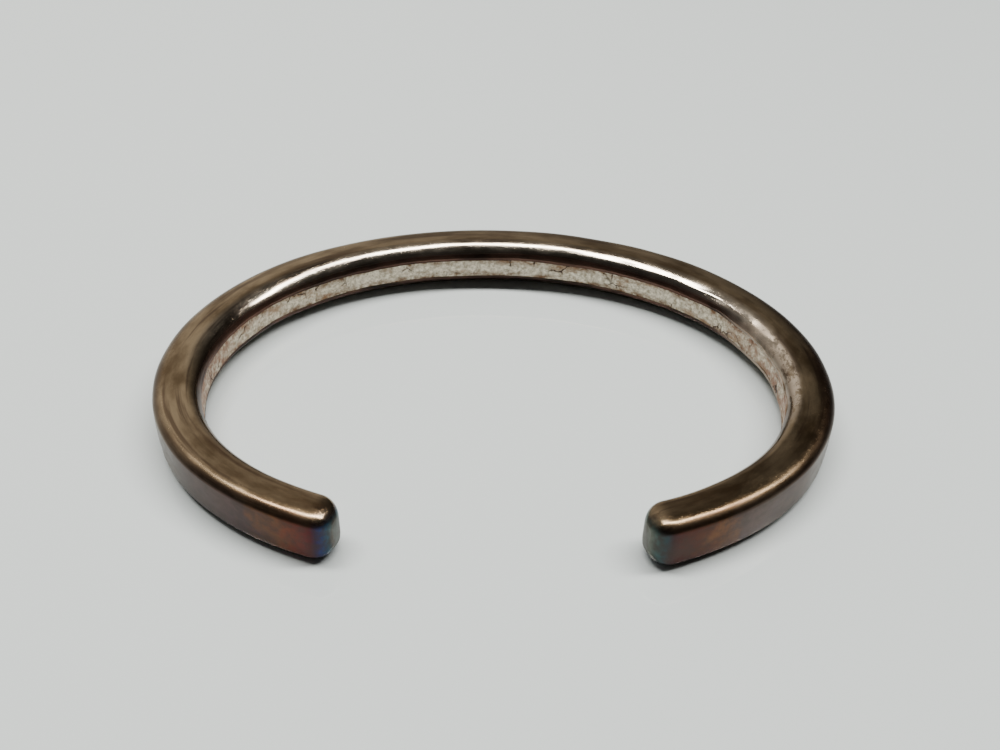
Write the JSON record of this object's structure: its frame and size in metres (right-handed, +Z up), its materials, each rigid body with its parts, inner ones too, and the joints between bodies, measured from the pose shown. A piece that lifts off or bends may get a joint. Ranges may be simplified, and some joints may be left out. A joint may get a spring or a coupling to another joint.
{
  "type": "bangle bracelet",
  "caption": "Open cuff bangle with a rounded rectangular section: hollow sheet channel, flat closing strip on the wrist side and rounded caps either side of the gap.",
  "frame": {"origin": "on the surface that the lower edge rests on, under the middle of the footprint", "axes": "+Z up through the wrist opening, -Y towards the gap between the ends, +X across the bangle to the right as seen from the gap"},
  "size_m": [0.066, 0.0466, 0.0054],
  "materials": {
    "patinated_silver": "polished, warm brown tarnish, tinted near the ends",
    "unpolished_silver": "matte, rough from the torch, with copper-brown stains",
    "heat_tinted_silver": "satin, grey-green with blue heat tint",
    "silver_solder": "satin, flush joint"
  },
  "bodies": {
    "root": {"outer_channel": "patinated_silver", "inner_strip": "unpolished_silver", "upper_solder_seam": "silver_solder", "lower_solder_seam": "silver_solder", "left_cap_solder": "silver_solder", "left_end_cap": "heat_tinted_silver", "right_cap_solder": "silver_solder", "right_end_cap": "heat_tinted_silver"}
  },
  "joints": []
}
